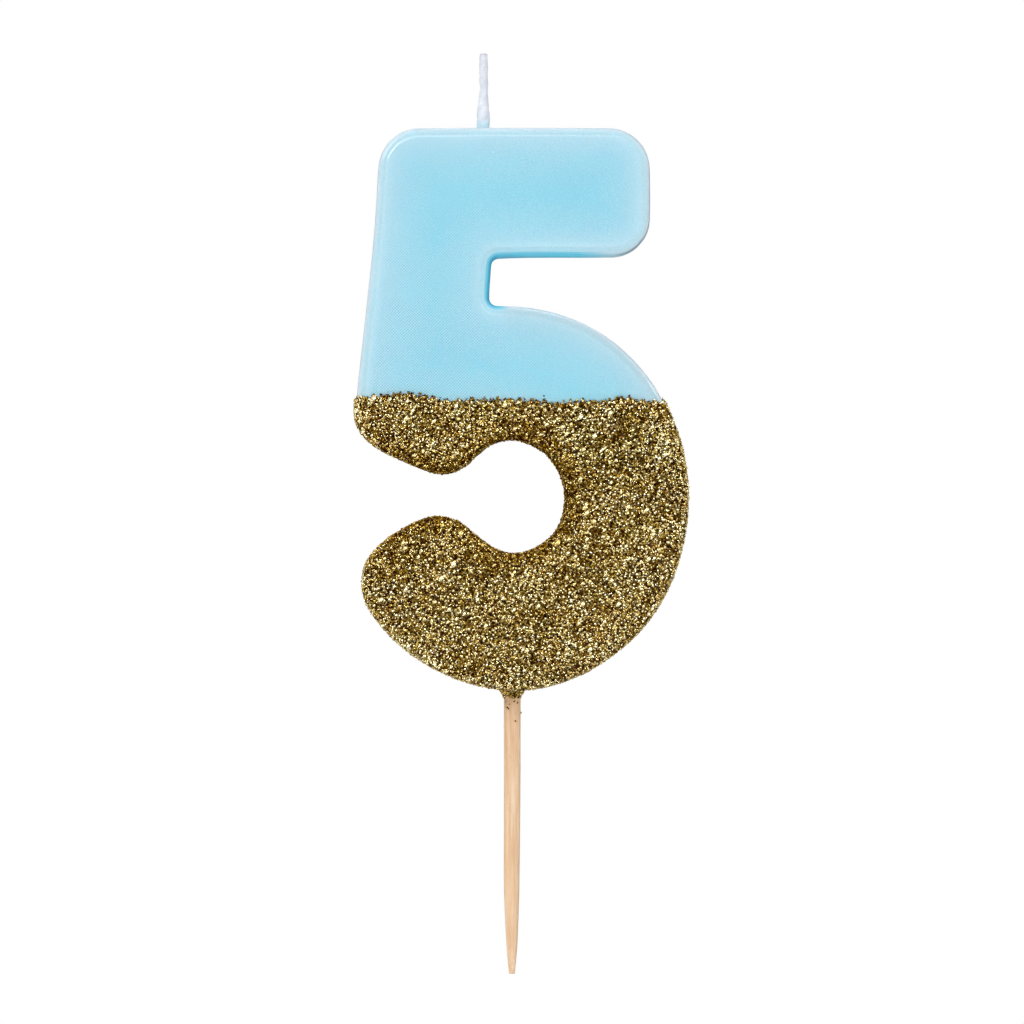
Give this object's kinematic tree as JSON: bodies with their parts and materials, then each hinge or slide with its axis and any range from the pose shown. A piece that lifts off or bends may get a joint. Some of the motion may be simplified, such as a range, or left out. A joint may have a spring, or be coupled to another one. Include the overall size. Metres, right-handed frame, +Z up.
{
  "type": "number birthday candle",
  "caption": "Flat cast wax numeral candle with a glitter-dipped lower half, a short flexible wick in its top and a tapered wooden pick below for standing it in a cake.",
  "frame": {"origin": "on the pick's axis, where the bare pick leaves the glitter collar under the numeral", "axes": "+Z up the pick to the wick, -Y out of the numeral's front face, +X to the right seen from the front"},
  "size_m": [0.042, 0.0086, 0.1153],
  "materials": {
    "blue_wax": "translucent pale blue candle wax, satin",
    "pick_wood": "bare birch, sanded",
    "wick_cotton": "bleached cotton yarn, waxed",
    "wick_wax": "thin white priming wax, slight sheen",
    "bond_film": "clear bond film tinted by the glitter in it",
    "gold_glitter": "metallised gold film flakes"
  },
  "bodies": {
    "candle": {"numeral_wax": "blue_wax", "wooden_pick": "pick_wood", "wick_root": "wick_cotton", "glitter_bond_film": "bond_film", "glitter_flake_layer": "gold_glitter"},
    "wick": {"wick_yarn_1": "wick_cotton", "wick_yarn_2": "wick_cotton", "wick_yarn_3": "wick_cotton", "wick_wax_skin": "wick_wax"}
  },
  "joints": [
    {"name": "wick_bend", "type": "hinge", "parent": "candle", "child": "wick", "pos_m": [-0.00355, 0, 0.0753], "axis": [0, 1, 0], "range_deg": [-35, 35]}
  ]
}
